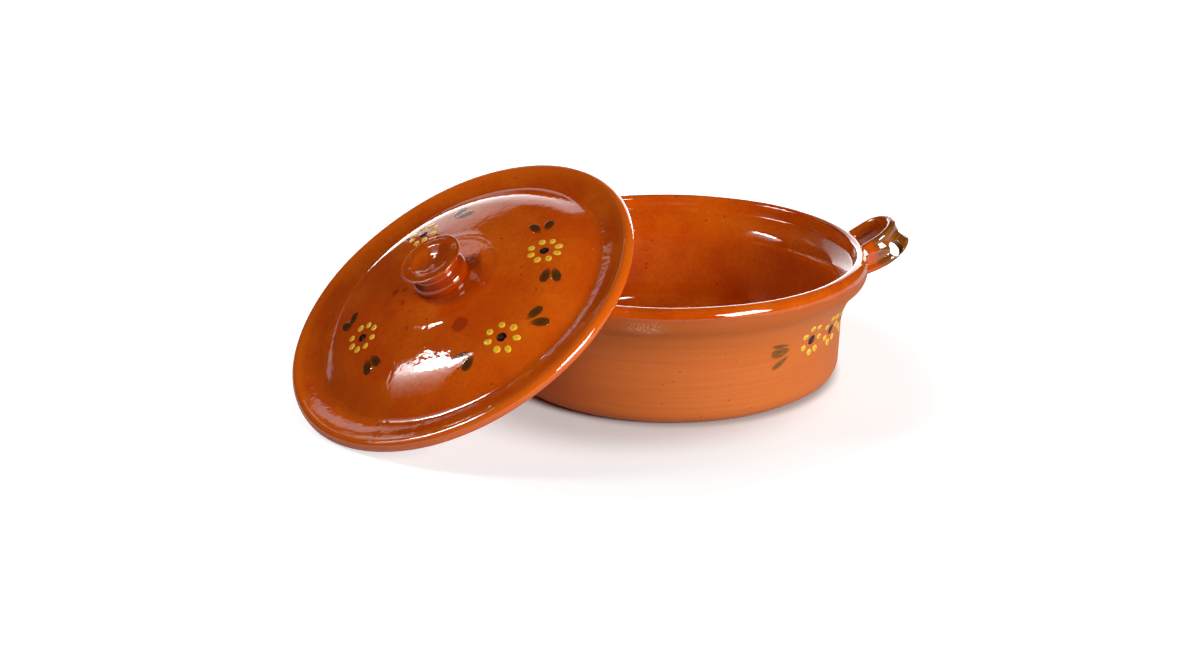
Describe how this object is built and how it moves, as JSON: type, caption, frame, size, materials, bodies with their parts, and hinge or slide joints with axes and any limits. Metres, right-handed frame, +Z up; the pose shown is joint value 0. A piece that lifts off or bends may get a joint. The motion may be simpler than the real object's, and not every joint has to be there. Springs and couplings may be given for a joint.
{
  "type": "lidded clay casserole",
  "caption": "Low round clay casserole with loop handles, a flared rim with an inner seat, and a domed, knobbed lid that lifts off and leans against a handle.",
  "frame": {"origin": "middle of the pot's flat foot, on the table", "axes": "+Z up along the pot's axis, the pot's handles near the X axis, the lid leaning on the -X side"},
  "size_m": [0.4466, 0.3561, 0.1528],
  "materials": {
    "burnished_clay": "burnished terracotta outside, clear amber glaze on the rim and inside",
    "amber_glaze": "glossy clear glaze over red clay",
    "yellow_slip": "yellow slip under gloss glaze",
    "black_slip": "black slip under gloss glaze",
    "olive_slip": "thin olive-brown slip under gloss glaze"
  },
  "bodies": {
    "pot": {"pot_bowl": "burnished_clay", "handle_right": "amber_glaze", "handle_left": "amber_glaze", "pot_petals": "yellow_slip", "pot_flower_eyes": "black_slip", "pot_leaves": "olive_slip"},
    "lid": {"lid": "amber_glaze", "lid_knob": "amber_glaze", "lid_petals": "yellow_slip", "lid_flower_eyes": "black_slip", "lid_leaves": "olive_slip"}
  },
  "joints": [
    {"name": "lid_lift", "type": "slide", "parent": "pot", "child": "lid", "axis": [0, 0, 1], "range_m": [0, 0.2]}
  ]
}
